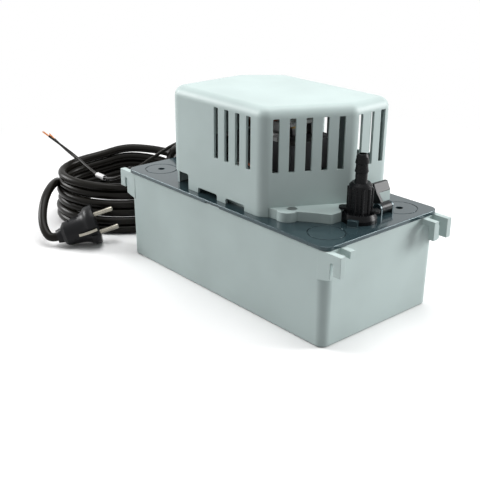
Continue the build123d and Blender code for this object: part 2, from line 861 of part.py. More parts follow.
with BuildPart() as valve_ball:
    with Locations((valve_x, valve_y, ball_centre_z)):
        Sphere(ball_radius)
save(valve_ball.part, "valve_ball")

# --- Latch: its head snaps over the plate's catch
latch_near = catch_y - catch_width / 2 - latch_gap - latch_arm
latch_far = catch_y + catch_width / 2
head_bottom = catch_top + latch_gap
latch_axis_plane = Plane((latch_pivot_x, latch_boss_y, latch_pivot_z), x_dir=(1, 0, 0), z_dir=(0, -1, 0))
with BuildPart() as latch:
    with BuildSketch(Plane((0, latch_far, 0), x_dir=(1, 0, 0), z_dir=(0, -1, 0))):
        with BuildLine():
            Polyline(
                (catch_root, head_bottom),
                (catch_front, head_bottom),
                (catch_front - latch_head_slope, head_bottom + latch_head_height),
                (catch_root, head_bottom + latch_head_height),
                close=True,
            )
        make_face()
    extrude(amount=latch_far - latch_near)
    chamfer(latch.edges().group_by(Axis.Z)[-1], latch_gap)
    with BuildSketch(Plane((0, latch_near + latch_arm, 0), x_dir=(1, 0, 0), z_dir=(0, -1, 0))):
        with BuildLine():
            Polyline(
                (latch_pivot_x, latch_pivot_z - latch_boss_radius),
                (latch_pivot_x, latch_pivot_z + latch_boss_radius),
                (catch_front, head_bottom),
                (catch_front - latch_arm_reach, head_bottom),
                (catch_front - latch_arm_reach, latch_pivot_z + latch_boss_radius),
                close=True,
            )
        make_face()
    extrude(amount=latch_arm)
    with BuildSketch(latch_axis_plane):
        Circle(latch_boss_radius)
    extrude(amount=latch_boss_width / 2, both=True)
    with BuildSketch(latch_axis_plane):
        Circle(latch_pin_radius + running_clearance)
    extrude(amount=latch_boss_width / 2, both=True, mode=Mode.SUBTRACT)
save(latch.part, "latch")

with BuildPart() as latch_pin:
    with BuildSketch(latch_axis_plane):
        Circle(latch_pin_radius)
    extrude(amount=cheek_inner + cheek_thickness, both=True)
save(latch_pin.part, "latch_pin")

with BuildPart() as plate_screw:
    recess_floor = plate_top - plate_skin
    with BuildSketch(Plane.XY.offset(tank_height)):
        with Locations((plate_screw_x, plate_screw_y)):
            Circle(screw_shank_radius)
    extrude(amount=recess_floor - tank_height)
    with BuildSketch(Plane.XY.offset(recess_floor)):
        with Locations((plate_screw_x, plate_screw_y)):
            Circle(screw_head_radius)
    extrude(amount=plate_skin - plate_clearance)
save(plate_screw.part, "plate_screw")

# --- Float, its arm on a cross pin, and the push rod that works the switches
float_plane = Plane((0, float_y, 0), x_dir=(1, 0, 0), z_dir=(0, -1, 0))
arm_top = float_pivot_z + arm_metal
rod_bottom = arm_top + rod_gap
float_top = float_z + float_height / 2
arm_knee_x = rod_x - arm_knee
arm_end_x = float_x + float_length / 4
with BuildPart() as float_body:
    with Locations((float_x, float_y, float_z)):
        Box(float_length, float_depth, float_height)
    fillet(float_body.edges(), float_corner)
save(float_body.part, "float_body")

with BuildPart() as float_arm:
    with BuildSketch(float_plane):
        with BuildLine():
            Polyline(
                (float_pivot_x, arm_top),
                (arm_knee_x, arm_top),
                (arm_end_x - arm_metal, float_top + arm_metal),
                (arm_end_x - arm_metal, float_top),
                (arm_end_x + arm_metal, float_top),
                (arm_end_x + arm_metal, float_top + arm_metal),
                (arm_knee_x, arm_top - arm_metal),
                (float_pivot_x, arm_top - arm_metal),
                close=True,
            )
        make_face()
        with Locations((float_pivot_x, float_pivot_z)):
            Circle(arm_barrel)
            Circle(float_pin_radius + running_clearance, mode=Mode.SUBTRACT)
    extrude(amount=arm_width / 2, both=True)
save(float_arm.part, "float_arm")

with BuildPart() as float_pin:
    with BuildSketch(float_plane):
        with Locations((float_pivot_x, float_pivot_z)):
            Circle(float_pin_radius)
    extrude(amount=ear_inner + ear_metal, both=True)
save(float_pin.part, "float_pin")

lever_reach_x = rod_x + crosshead_length / 2 - switch_pivot_x
lever_drop = lever_reach_x * tan(radians(lever_angle)) + lever_metal / 2 / cos(radians(lever_angle))
crosshead_top = switch_pivot_z - lever_drop - rod_gap
with BuildPart() as push_rod:
    with BuildSketch(Plane.XY.offset(rod_bottom)):
        with Locations((rod_x, float_y)):
            Circle(rod_radius)
    extrude(amount=crosshead_top - rod_bottom)
    with BuildSketch(Plane.XY.offset(crosshead_top - crosshead_height)):
        with Locations((rod_x, float_y)):
            Rectangle(crosshead_length, crosshead_width)
    extrude(amount=crosshead_height)
save(push_rod.part, "push_rod")


def micro_switch(name, y):
    """Switch body with the ears and cross pin that carry its lever."""
    section = Plane((0, y, 0), x_dir=(1, 0, 0), z_dir=(0, -1, 0))
    body_bottom = switch_pivot_z + switch_gap
    left = switch_pivot_x - 2 * lever_barrel
    with BuildPart() as body:
        with BuildSketch(section):
            with BuildLine():
                Polyline(
                    (left, body_bottom),
                    (left + switch_length, body_bottom),
                    (left + switch_length, body_bottom + switch_height),
                    (left, body_bottom + switch_height),
                    close=True,
                )
            make_face()
        extrude(amount=switch_width / 2, both=True)
        with BuildSketch(section):
            with Locations((switch_pivot_x, switch_pivot_z + switch_gap / 2)):
                Rectangle(4 * lever_barrel, switch_gap + 2 * lever_barrel)
        extrude(amount=switch_width / 2, both=True)
        with BuildSketch(section):
            with Locations((switch_pivot_x, switch_pivot_z)):
                Circle(lever_barrel + switch_gap / 2)
            with Locations((switch_pivot_x + 2 * lever_barrel, switch_pivot_z - lever_barrel)):
                Rectangle(4 * lever_barrel, 2 * lever_barrel + switch_gap)
        extrude(amount=lever_width / 2 + rod_gap, both=True, mode=Mode.SUBTRACT)
        with BuildSketch(section):
            with Locations((switch_pivot_x, switch_pivot_z)):
                Circle(lever_barrel / 2)
        extrude(amount=switch_width / 2, both=True)
    save(body.part, name)


def switch_lever(name, y):
    """Spring lever that slopes down over the push rod at rest."""
    section = Plane(
        (switch_pivot_x, y, switch_pivot_z),
        x_dir=(cos(radians(lever_angle)), 0, -sin(radians(lever_angle))),
        z_dir=(0, -1, 0),
    )
    with BuildPart() as lever:
        with BuildSketch(section):
            with Locations((lever_length / 2, 0)):
                Rectangle(lever_length, lever_metal)
            Circle(lever_barrel)
            Circle(lever_barrel / 2 + running_clearance, mode=Mode.SUBTRACT)
        extrude(amount=lever_width / 2, both=True)
    save(lever.part, name)


for role, side in (("pump", -1), ("alarm", 1)):
    micro_switch(f"{role}_switch", float_y + side * switch_spacing / 2)
    switch_lever(f"{role}_switch_lever", float_y + side * switch_spacing / 2)

channel_half = (switch_spacing - switch_width) / 2
bracket_top = switch_pivot_z + switch_gap + switch_height
with BuildPart() as switch_bracket:
    with BuildSketch(Plane.YZ.offset(switch_pivot_x - 2 * lever_barrel)):
        with BuildLine():
            Polyline(
                (float_y - channel_half - bracket_foot, cover_top),
                (float_y - channel_half + switch_bracket_metal, cover_top),
                (float_y - channel_half + switch_bracket_metal, bracket_top - switch_bracket_metal),
                (float_y + channel_half - switch_bracket_metal, bracket_top - switch_bracket_metal),
                (float_y + channel_half - switch_bracket_metal, cover_top),
                (float_y + channel_half + bracket_foot, cover_top),
                (float_y + channel_half + bracket_foot, cover_top + switch_bracket_metal),
                (float_y + channel_half, cover_top + switch_bracket_metal),
                (float_y + channel_half, bracket_top),
                (float_y - channel_half, bracket_top),
                (float_y - channel_half, cover_top + switch_bracket_metal),
                (float_y - channel_half - bracket_foot, cover_top + switch_bracket_metal),
                close=True,
            )
        make_face()
    extrude(amount=bracket_length)
save(switch_bracket.part, "switch_bracket")

with BuildPart() as terminal_block:
    with BuildSketch(Plane.XY.offset(cover_top)):
        with Locations((terminal_x, terminal_y)):
            Rectangle(terminal_length, terminal_width)
    extrude(amount=terminal_height)
    with BuildSketch(Plane.XY.offset(cover_top + terminal_height)):
        with Locations((terminal_x, terminal_y)):
            with GridLocations(terminal_length / 4, terminal_width / 2, 4, 2):
                Circle(screw_shank_radius)
    extrude(amount=-terminal_height / 2, mode=Mode.SUBTRACT)
save(terminal_block.part, "terminal_block")

# --- Motor hood: moulded shell with vents on every side and windows at its foot
hood_corners = [
    Vector(hood_left, hood_near),
    Vector(chamfer_near_x, hood_near),
    Vector(hood_right, chamfer_right_y),
    Vector(hood_right, hood_far),
    Vector(back_chamfer_x, hood_far),
    Vector(hood_left, back_chamfer_y),
]
with BuildSketch() as hood_plan:
    with BuildLine():
        Polyline(*hood_corners, close=True)
    make_face()
    fillet(hood_plan.vertices(), hood_corner)
with BuildSketch() as hood_inside:
    add(hood_plan.sketch)
    offset(amount=-hood_wall, mode=Mode.REPLACE)
with BuildSketch() as plate_clearing:
    add(plate_plan.sketch)
    offset(amount=plate_clearance, mode=Mode.REPLACE)


def vents(start, toward, first, count):
    """Row of upright slots along one hood face, from the corner start."""
    run = (toward - start).normalized()
    outward = run.cross(Vector(0, 0, 1))
    height = slot_top - slot_bottom
    for number in range(count):
        centre = start + run * (first + number * slot_pitch) + outward * hood_wall
        slot_plane = Plane((centre.X, centre.Y, (slot_top + slot_bottom) / 2), x_dir=run, z_dir=outward)
        with BuildSketch(slot_plane) as slot:
            RectangleRounded(slot_width, height, slot_corner)
        extrude(slot.sketch, amount=-vent_depth, mode=Mode.SUBTRACT)


with BuildPart() as motor_hood:
    with BuildSketch(Plane.XY.offset(cover_top)):
        add(hood_plan.sketch)
    extrude(amount=hood_top - cover_top)
    fillet(motor_hood.edges().group_by(Axis.Z)[-1], hood_top_radius)
    with BuildPart(mode=Mode.PRIVATE) as hood_core:
        with BuildSketch(Plane.XY.offset(cover_top)):
            add(hood_inside.sketch)
        extrude(amount=hood_top - hood_wall - cover_top)
        fillet(hood_core.edges().group_by(Axis.Z)[-1], hood_top_radius - hood_wall)
    add(hood_core.part, mode=Mode.SUBTRACT)
    with BuildSketch(Plane.XY.offset(cover_top)):
        add(plate_clearing.sketch)
    extrude(amount=plate_top - cover_top, mode=Mode.SUBTRACT)
    for start, end, top in windows:
        with BuildSketch(Plane.XZ.offset(-hood_near + hood_wall)) as window:
            with Locations(((start + end) / 2, (cover_top + top - hood_corner) / 2)):
                RectangleRounded(end - start, top - cover_top + hood_corner, window_corner)
        extrude(window.sketch, amount=-hood_wall - window_depth, mode=Mode.SUBTRACT)
    for (y, z), shank in ((mains_exit, mains_shank), (alarm_exit, alarm_shank)):
        with BuildSketch(Plane.YZ.offset(hood_left - hood_wall)) as lead_hole:
            with Locations((y, z)):
                Circle(shank)
        extrude(lead_hole.sketch, amount=3 * hood_wall, mode=Mode.SUBTRACT)
    vents(hood_corners[1], hood_corners[0], near_first, 4)
    vents(hood_corners[1], hood_corners[2], middle_first, 5)
    vents(hood_corners[2], hood_corners[3], right_first, 3)
    vents(hood_corners[3], hood_corners[4], far_first, 6)
    vents(hood_corners[4], hood_corners[5], back_first, 2)
save(motor_hood.part, "motor_hood")

# --- Strain reliefs on the hood's left end
def strain_relief(name, place, shank, collar, end, length):
    """Turned grommet through the hood wall, tapering towards its lead."""
    y, z = place
    outside = hood_left - hood_wall
    inner_end = -hood_left - hood_wall - relief_flange
    with BuildPart() as relief:
        with BuildSketch(Plane((0, y, z), x_dir=(-1, 0, 0), z_dir=(0, 1, 0))):
            with BuildLine():
                Polyline(
                    (inner_end, 0),
                    (inner_end, shank + 1),
                    (-hood_left - hood_wall, shank + 1),
                    (-hood_left - hood_wall, shank),
                    (-hood_left, shank),
                    (-hood_left, collar),
                    (-outside, collar),
                    (-outside + hood_wall, collar - relief_flange),
                    (-hood_left + length, end),
                    (-hood_left + length, 0),
                    close=True,
                )
            make_face()
        revolve(axis=Axis((0, y, z), (1, 0, 0)))
    save(relief.part, name)


strain_relief("mains_relief", mains_exit, mains_shank, relief_collar, relief_end, relief_length)
strain_relief("alarm_relief", alarm_exit, alarm_shank, alarm_collar, alarm_end, alarm_relief_length)


def lead_tube(name, route, radius):
    """Round lead along straight runs joined by the largest arcs they allow."""
    runs = [Vector(*b) - Vector(*a) for a, b in zip(route, route[1:])]
    radii = []
    for before, after in zip(runs, runs[1:]):
        half_turn = radians(before.get_angle(after)) / 2
        radii.append(0.45 * min(before.length, after.length) / tan(half_turn))
    print(name, "radii", [round(r, 1) for r in radii], "dia", 2 * radius)
    with BuildPart() as tube:
        with BuildLine() as path:
            FilletPolyline(*route, radius=radii)
        with BuildSketch(Plane(path.line @ 0, z_dir=path.line % 0)):
            Circle(radius)
        sweep()
    length = sum(edge.length for edge in path.edges())
    print(name, "length", round(length), "ratio", round(tube.part.volume / (pi * radius**2 * length), 4))
    save(tube.part, name)


mains_start = (hood_left - relief_length, *mains_exit)
lead_tube("mains_lead", [mains_start, *mains_route], mains_radius)
tail_end = plug_face - plug_axis * plug_length
lead_tube("mains_tail", [*tail_route, tail_end - plug_axis * tail_elbow, tail_end], mains_radius)
alarm_start = (hood_left - alarm_relief_length, *alarm_exit)
lead_tube("alarm_lead", [alarm_start, *alarm_route], alarm_radius)

with BuildPart() as mains_coil:
    with BuildSketch(Plane((coil_x, coil_y, 0), x_dir=(cos(radians(coil_turn)), sin(radians(coil_turn)), 0))):
        Ellipse(coil_long, coil_short)
        Ellipse(coil_long - coil_band, coil_short - coil_band, mode=Mode.SUBTRACT)
    extrude(amount=coil_height)
    fillet(mains_coil.edges().group_by(Axis.Z)[-1] + mains_coil.edges().group_by(Axis.Z)[0], coil_round)
save(mains_coil.part, "mains_coil")

# --- Round earthed plug lying on its rim
plug_plane = Plane(plug_face, x_dir=(plug_axis.Y, -plug_axis.X, 0), z_dir=plug_axis)
with BuildPart() as plug_body:
    with BuildSketch(plug_plane * Plane.XZ):
        with BuildLine():
            Polyline(
                (0, 0),
                (plug_radius - 1, 0),
                (plug_radius, -1),
                (plug_radius, -plug_rim),
                (plug_radius - 3, -plug_rim - 1.5),
                (plug_waist, -0.45 * plug_length),
                (plug_neck + 2, -0.8 * plug_length),
                (plug_neck, -plug_length),
                (0, -plug_length),
                close=True,
            )
        make_face()
    revolve(axis=Axis(plug_plane.origin, plug_plane.z_dir))
    for side in (1, -1):
        with BuildSketch(plug_plane):
            with Locations((side * plug_radius, 0)):
                Rectangle(2 * clip_depth, clip_width)
        extrude(amount=-clip_length, mode=Mode.SUBTRACT)
save(plug_body.part, "plug_body")

with BuildPart() as plug_pins:
    with BuildSketch(plug_plane):
        with Locations((0, pin_spacing / 2), (0, -pin_spacing / 2)):
            Circle(pin_radius)
    extrude(amount=pin_length)
save(plug_pins.part, "plug_pins")

with BuildPart() as plug_clips:
    for side in (1, -1):
        with BuildSketch(plug_plane):
            with Locations((side * (plug_radius - clip_depth + clip_metal / 2), 0)):
                Rectangle(clip_metal, clip_width - 1)
        extrude(amount=-clip_length)
save(plug_clips.part, "plug_clips")

# --- Bared ends of the alarm lead
alarm_tip = Vector(*alarm_route[-1])
alarm_way = (alarm_tip - Vector(*alarm_route[-2])).normalized()
with BuildPart() as alarm_conductors:
    with BuildSketch(Plane(alarm_tip, z_dir=alarm_way)):
        with Locations((core_offset, 0), (-core_offset, 0)):
            Circle(core_radius)
    extrude(amount=core_length)
save(alarm_conductors.part, "alarm_conductors")
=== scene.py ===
from math import atan2, cos, pi, radians, sin

import bpy
from mathutils import Matrix, Vector


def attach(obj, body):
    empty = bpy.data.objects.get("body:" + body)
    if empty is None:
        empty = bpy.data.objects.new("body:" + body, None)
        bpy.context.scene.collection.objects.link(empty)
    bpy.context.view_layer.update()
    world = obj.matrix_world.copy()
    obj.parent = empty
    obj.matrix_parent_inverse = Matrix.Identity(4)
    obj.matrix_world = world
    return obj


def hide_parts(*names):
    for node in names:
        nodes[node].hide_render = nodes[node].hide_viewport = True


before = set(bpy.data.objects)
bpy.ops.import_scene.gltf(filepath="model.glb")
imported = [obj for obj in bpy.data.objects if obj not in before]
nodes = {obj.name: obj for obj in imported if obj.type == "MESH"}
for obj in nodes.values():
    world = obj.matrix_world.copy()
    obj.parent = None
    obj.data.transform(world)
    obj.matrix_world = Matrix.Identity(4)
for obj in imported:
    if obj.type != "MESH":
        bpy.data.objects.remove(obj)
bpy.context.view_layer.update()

root = "pump_unit"


def deselectAll():
    if bpy.context.object and bpy.context.object.mode != "OBJECT":
        bpy.ops.object.mode_set(mode="OBJECT")
    bpy.ops.object.select_all(action="DESELECT")


def newFinish(name, color, roughness, metallic=0.0):
    mat = bpy.data.materials.new(name)
    mat.use_nodes = True
    shader = mat.node_tree.nodes["Principled BSDF"]
    shader.inputs["Base Color"].default_value = (*color, 1.0)
    shader.inputs["Roughness"].default_value = roughness
    shader.inputs["Metallic"].default_value = metallic
    return mat, mat.node_tree, shader


def addNoise(tree, scale, detail=4.0, stretch=(1, 1, 1)):
    coords = tree.nodes.new("ShaderNodeTexCoord")
    place = tree.nodes.new("ShaderNodeMapping")
    place.inputs["Scale"].default_value = stretch
    noise = tree.nodes.new("ShaderNodeTexNoise")
    noise.inputs["Scale"].default_value = scale
    noise.inputs["Detail"].default_value = detail
    tree.links.new(coords.outputs["Object"], place.inputs["Vector"])
    tree.links.new(place.outputs["Vector"], noise.inputs["Vector"])
    return noise


def addRamp(tree, source, low, high, lowColor, highColor):
    ramp = tree.nodes.new("ShaderNodeValToRGB")
    ramp.color_ramp.elements[0].position = low
    ramp.color_ramp.elements[0].color = (*lowColor, 1.0)
    ramp.color_ramp.elements[1].position = high
    ramp.color_ramp.elements[1].color = (*highColor, 1.0)
    tree.links.new(source, ramp.inputs["Fac"])
    return ramp


plastic = {"cloudScale": 14.0, "cloudEdges": (0.35, 0.65), "roughSpread": 0.12, "grainDepth": 0.0002,
           "edgeSamples": 6, "coatRoughness": 0.08}


def mouldedPlastic(name, color, roughness, grain=900.0, bump=0.05, edge=0.0006, shade=0.06, coat=0.0,
                   gloss=0.5, glint=(1.0, 1.0, 1.0)):
    mat, tree, shader = newFinish(name, color, roughness)
    cloudy = addNoise(tree, plastic["cloudScale"], 3.0)
    dark = tuple(c * (1 - shade) for c in color)
    light = tuple(min(1.0, c * (1 + shade)) for c in color)
    tint = addRamp(tree, cloudy.outputs["Fac"], *plastic["cloudEdges"], dark, light)
    tree.links.new(tint.outputs["Color"], shader.inputs["Base Color"])
    pores = addNoise(tree, grain, 6.0)
    rough = tree.nodes.new("ShaderNodeMapRange")
    rough.inputs["To Min"].default_value = roughness * (1 - plastic["roughSpread"])
    rough.inputs["To Max"].default_value = roughness * (1 + plastic["roughSpread"])
    tree.links.new(pores.outputs["Fac"], rough.inputs["Value"])
    tree.links.new(rough.outputs["Result"], shader.inputs["Roughness"])
    relief = tree.nodes.new("ShaderNodeBump")
    relief.inputs["Strength"].default_value = bump
    relief.inputs["Distance"].default_value = plastic["grainDepth"]
    tree.links.new(pores.outputs["Fac"], relief.inputs["Height"])
    if edge:  # moulded edges catch a thin light
        soft = tree.nodes.new("ShaderNodeBevel")
        soft.samples = plastic["edgeSamples"]
        soft.inputs["Radius"].default_value = edge
        tree.links.new(soft.outputs["Normal"], relief.inputs["Normal"])
    tree.links.new(relief.outputs["Normal"], shader.inputs["Normal"])
    shader.inputs["Coat Weight"].default_value = coat
    shader.inputs["Coat Roughness"].default_value = plastic["coatRoughness"]
    shader.inputs["Specular IOR Level"].default_value = gloss
    shader.inputs["Specular Tint"].default_value = (*glint, 1.0)
    return mat


metal = {"roughRange": (0.7, 1.4), "bump": 0.08, "lineDepth": 0.0001}


def brushedMetal(name, color, roughness, stretch=(1, 1, 18), scale=260.0):
    mat, tree, shader = newFinish(name, color, roughness, 1.0)
    lines = addNoise(tree, scale, 5.0, stretch)
    rough = tree.nodes.new("ShaderNodeMapRange")
    rough.inputs["To Min"].default_value = roughness * metal["roughRange"][0]
    rough.inputs["To Max"].default_value = roughness * metal["roughRange"][1]
    tree.links.new(lines.outputs["Fac"], rough.inputs["Value"])
    tree.links.new(rough.outputs["Result"], shader.inputs["Roughness"])
    relief = tree.nodes.new("ShaderNodeBump")
    relief.inputs["Strength"].default_value = metal["bump"]
    relief.inputs["Distance"].default_value = metal["lineDepth"]
    tree.links.new(lines.outputs["Fac"], relief.inputs["Height"])
    tree.links.new(relief.outputs["Normal"], shader.inputs["Normal"])
    return mat


housing = mouldedPlastic("housingGrey", (0.462, 0.552, 0.54), 0.42, gloss=0.35)
coverGrey = mouldedPlastic("coverGloss", (0.024, 0.043, 0.050), 0.14, bump=0.02, coat=0.12,
                           glint=(0.72, 0.93, 1.0))
latchBlack = mouldedPlastic("latchBlack", (0.012, 0.014, 0.015), 0.3, bump=0.03, edge=0.0004, gloss=0.2)
valveBlack = mouldedPlastic("valveBlack", (0.0045, 0.005, 0.006), 0.27, bump=0.03, edge=0.0004, gloss=0.14)
pumpBlack = mouldedPlastic("pumpBlack", (0.014, 0.014, 0.016), 0.5, gloss=0.3)
leadBlack = mouldedPlastic("leadSheath", (0.0075, 0.0066, 0.0050), 0.29, grain=300.0, bump=0.006, edge=0.0,
                           gloss=0.13)
plugBlack = mouldedPlastic("plugBlack", (0.0065, 0.007, 0.008), 0.32, bump=0.04, edge=0.0005, gloss=0.17)
softBlack = mouldedPlastic("rubberBlack", (0.010, 0.010, 0.011), 0.6, gloss=0.25)
innerWhite = mouldedPlastic("innerWhite", (0.62, 0.61, 0.57), 0.45)
floatWhite = mouldedPlastic("floatWhite", (0.72, 0.71, 0.67), 0.5)
tagWhite = mouldedPlastic("tagWhite", (0.60, 0.60, 0.60), 0.5, grain=400.0, edge=0.0, shade=0.15)
switchBlack = mouldedPlastic("switchBlack", (0.02, 0.02, 0.022), 0.4, gloss=0.3)
steel = brushedMetal("bareSteel", (0.42, 0.42, 0.42), 0.3)
lamination = brushedMetal("laminations", (0.10, 0.10, 0.105), 0.5, (1, 1, 60), 120.0)
winding = brushedMetal("enamelledWire", (0.16, 0.055, 0.03), 0.35, (30, 1, 1))
copper = brushedMetal("copperWire", (0.52, 0.20, 0.07), 0.36, (30, 1, 1))
bronze = brushedMetal("bronzeBush", (0.55, 0.40, 0.18), 0.35)
# nickel darkened well below its own tone: painted shade that stands in for the dark surroundings the pins and clips
# reflect
pinMetalPaintedDark = brushedMetal("pinNickelPaintedDark", (0.30, 0.285, 0.24), 0.2, (1, 1, 1))

finishOf = {
    "tank": housing, "pump_plate": housing, "motor_hood": housing,
    "tank_cover": coverGrey, "latch": latchBlack, "check_valve": valveBlack,
    "pump_column": pumpBlack, "volute_casing": pumpBlack, "volute_cover": pumpBlack,
    "discharge_pipe": pumpBlack, "impeller": pumpBlack,
    "pump_gasket": softBlack, "valve_o_ring": softBlack, "mains_relief": softBlack, "alarm_relief": softBlack,
    "plug_body": plugBlack, "plug_pins": pinMetalPaintedDark, "plug_clips": pinMetalPaintedDark,
    "motor_shaft": steel, "latch_pin": steel, "float_pin": steel, "plate_screw": steel, "motor_screws": steel,
    "lower_bridge": steel, "upper_bridge": steel, "switch_bracket": steel,
    "pump_switch_lever": steel, "alarm_switch_lever": steel,
    "stator_stack": lamination, "rotor_core": lamination,
    "stator_windings": winding, "alarm_conductors": copper,
    "lower_bush": bronze, "upper_bush": bronze,
    "coil_bobbin": innerWhite, "cooling_fan": innerWhite, "terminal_block": innerWhite,
    "push_rod": innerWhite, "float_arm": innerWhite,
    "pump_switch": switchBlack, "alarm_switch": switchBlack,
    "float_body": floatWhite, "valve_ball": floatWhite,
}
for name, finish in finishOf.items():
    obj = nodes[name]
    obj.data.materials.clear()
    obj.data.materials.append(finish)
print("finishes on", len(finishOf), "nodes")


camera = {"place": (0.50446, -0.47558, 0.31467), "pitch": 21.47, "yaw": 49.92,
          "lens": 63.61, "sensor": 36, "shiftX": 0.0272, "shiftY": -0.0190}
camData = bpy.data.cameras.new("viewCamera")
camData.lens = camera["lens"]
camData.sensor_width = camera["sensor"]
camData.shift_x = camera["shiftX"]
camData.shift_y = camera["shiftY"]
camObj = bpy.data.objects.new("viewCamera", camData)
camObj.location = camera["place"]
camObj.rotation_euler = (radians(90 - camera["pitch"]), 0, radians(camera["yaw"]))
bpy.context.collection.objects.link(camObj)
bpy.context.scene.camera = camObj


leadMesh = {"around": 5, "along": 8}


def leadCurve(name, points, radius, finish, slim=(), around=leadMesh["around"], along=leadMesh["along"]):
    data = bpy.data.curves.new(name, "CURVE")
    data.dimensions = "3D"
    spline = data.splines.new("NURBS")
    spline.points.add(len(points) - 1)
    for knot, point in zip(spline.points, points):
        knot.co = (*point, 1.0)
    for knot, share in zip(reversed(spline.points), slim):  # thinner towards the bare end
        knot.radius = share
    spline.order_u = 3
    spline.use_endpoint_u = True
    data.bevel_depth = radius
    data.bevel_resolution = around
    data.resolution_u = along
    data.use_fill_caps = True
    obj = bpy.data.objects.new(name, data)
    bpy.context.collection.objects.link(obj)
    data.materials.append(finish)
    return obj


def linePoints(obj):
    copy = obj.copy()
    copy.data = obj.data.copy()
    copy.data.bevel_depth = 0
    bpy.context.collection.objects.link(copy)
    mesh = bpy.data.meshes.new_from_object(copy.evaluated_get(bpy.context.evaluated_depsgraph_get()))
    line = [v.co.copy() for v in mesh.vertices]
    bpy.data.objects.remove(copy)
    bpy.data.meshes.remove(mesh)
    return line


def lineLength(obj):
    line = linePoints(obj)
    return sum((b - a).length for a, b in zip(line, line[1:]))


mains = {
    "radius": 0.00425,
    "fromHood": [(-0.092, -0.002, 0.096), (-0.115, -0.002, 0.0955), (-0.134, -0.003, 0.089),
                 (-0.147, 0.000, 0.078), (-0.158, 0.008, 0.067)],
    "toPlug": [(-0.252, -0.0705, 0.0400), (-0.2395, -0.084, 0.0405), (-0.2265, -0.0975, 0.0370),
               (-0.214, -0.1085, 0.0290), (-0.203, -0.1155, 0.0195), (-0.193, -0.118, 0.0120)],
    "coilCentre": (-0.213, -0.0155), "coilTurn": 49.9, "coilLong": 0.0622, "coilShort": 0.0448, "perTurn": 15,
    "startAngle": -5.0, "endAngle": 2336.0,  # degrees from the coil's right end
    "angles": (-20, 90, 125, 180, 270),  # right, back, far left, left, front of each turn
    # millimetres: heights at those angles, a row for each turn, then how far each turn fans out or lies loose
    "heights": ((60, 62, 53, 49.5, 46), (45.5, 53.3, 44.5, 41, 37.7), (37, 44.8, 36, 32.6, 29.4),
                (28.6, 36.3, 27.5, 24.3, 21.1), (20.2, 27.6, 19.2, 16, 12.9), (12, 18.5, 12, 8, 4.6),
                (4.6, 8, 21, 36, 43)),
    "fanOut": (0.0, 1.4, 3.4, 5.0, 6.6, 8.0, 3.0), "loose": (0.4, -0.8, 0.9, -0.5, 0.8, 0.0, 9.4),
}


def coilPoint(angle, grow, z):
    u = (cos(radians(mains["coilTurn"])), sin(radians(mains["coilTurn"])))
    a = (mains["coilLong"] + grow) * cos(radians(angle))
    b = (mains["coilShort"] + grow) * sin(radians(angle))
    cx, cy = mains["coilCentre"]
    return (cx + a * u[0] - b * u[1], cy + a * u[1] + b * u[0], z)


def between(angle, stops, values):
    for i in range(len(stops) - 1):
        if angle <= stops[i + 1]:
            share = (angle - stops[i]) / (stops[i + 1] - stops[i])
            share = share * share * (3 - 2 * share)  # eases in and out
            return values[i] + (values[i + 1] - values[i]) * share
    return values[-1]


def coilPoints():
    stops, heights, growths = [], [], []
    for turn, row in enumerate(mains["heights"]):
        for stop, height in zip(mains["angles"], row):
            front = 0.5 - 0.5 * sin(radians(stop))
            stops.append(stop + 360 * turn)
            heights.append(height / 1000)
            growths.append((mains["fanOut"][turn] * front + mains["loose"][turn]) / 1000)
    points = []
    step = 360 / mains["perTurn"]
    count = int((mains["endAngle"] - mains["startAngle"]) / step)
    for i in range(count + 1):
        angle = mains["startAngle"] + step * i
        points.append(coilPoint(angle, between(angle, stops, growths), between(angle, stops, heights)))
    return points


plug = {
    "face": (-0.165, -0.077, 0.0203), "axis": (0.44, 0.85, 0.27), "length": 0.036, "elbow": 0.0095,
    # depth behind the face and radius
    "rings": [(0.0, 0.0178), (0.0006, 0.0190), (0.0016, 0.0194), (0.0070, 0.0189), (0.0092, 0.0178), (0.0104, 0.0160),
              (0.0135, 0.0146), (0.0190, 0.0132), (0.0250, 0.0122), (0.0290, 0.0119), (0.0315, 0.0116),
              (0.0335, 0.0094), (0.0350, 0.0074), (0.0400, 0.0064)],
    "rimRing": 3, "rounding": 0.0005,
    "flatDepth": 0.0036, "flatCut": (0.012, 0.0086, 0.034), "flatMiddle": -0.006, "flatBevel": 0.0008,
    "gripCut": (0.010, 0.020, 0.0125), "gripOut": 0.0015, "gripMiddle": -0.0205, "gripBevel": 0.003,
    "ribCut": (0.04, 0.0012, 0.0010), "ribSide": 0.0139, "ribTop": -0.0145, "ribStep": 0.0031, "ribs": 4,
    "ribBevel": 0.0002,
}
plugAxis = Vector(plug["axis"]).normalized()
plugTail = Vector(plug["face"]) - plugAxis * plug["length"]
elbow = plugTail - plugAxis * plug["elbow"]
mainsPoints = mains["fromHood"] + coilPoints() + mains["toPlug"] + [tuple(elbow), tuple(plugTail)]
mainsLead = leadCurve("mainsLead", mainsPoints, mains["radius"], leadBlack)
mainsLength = lineLength(mainsLead)
print("mains lead", round(mainsLength, 3))
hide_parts("mains_lead", "mains_coil", "mains_tail")
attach(mainsLead, root)

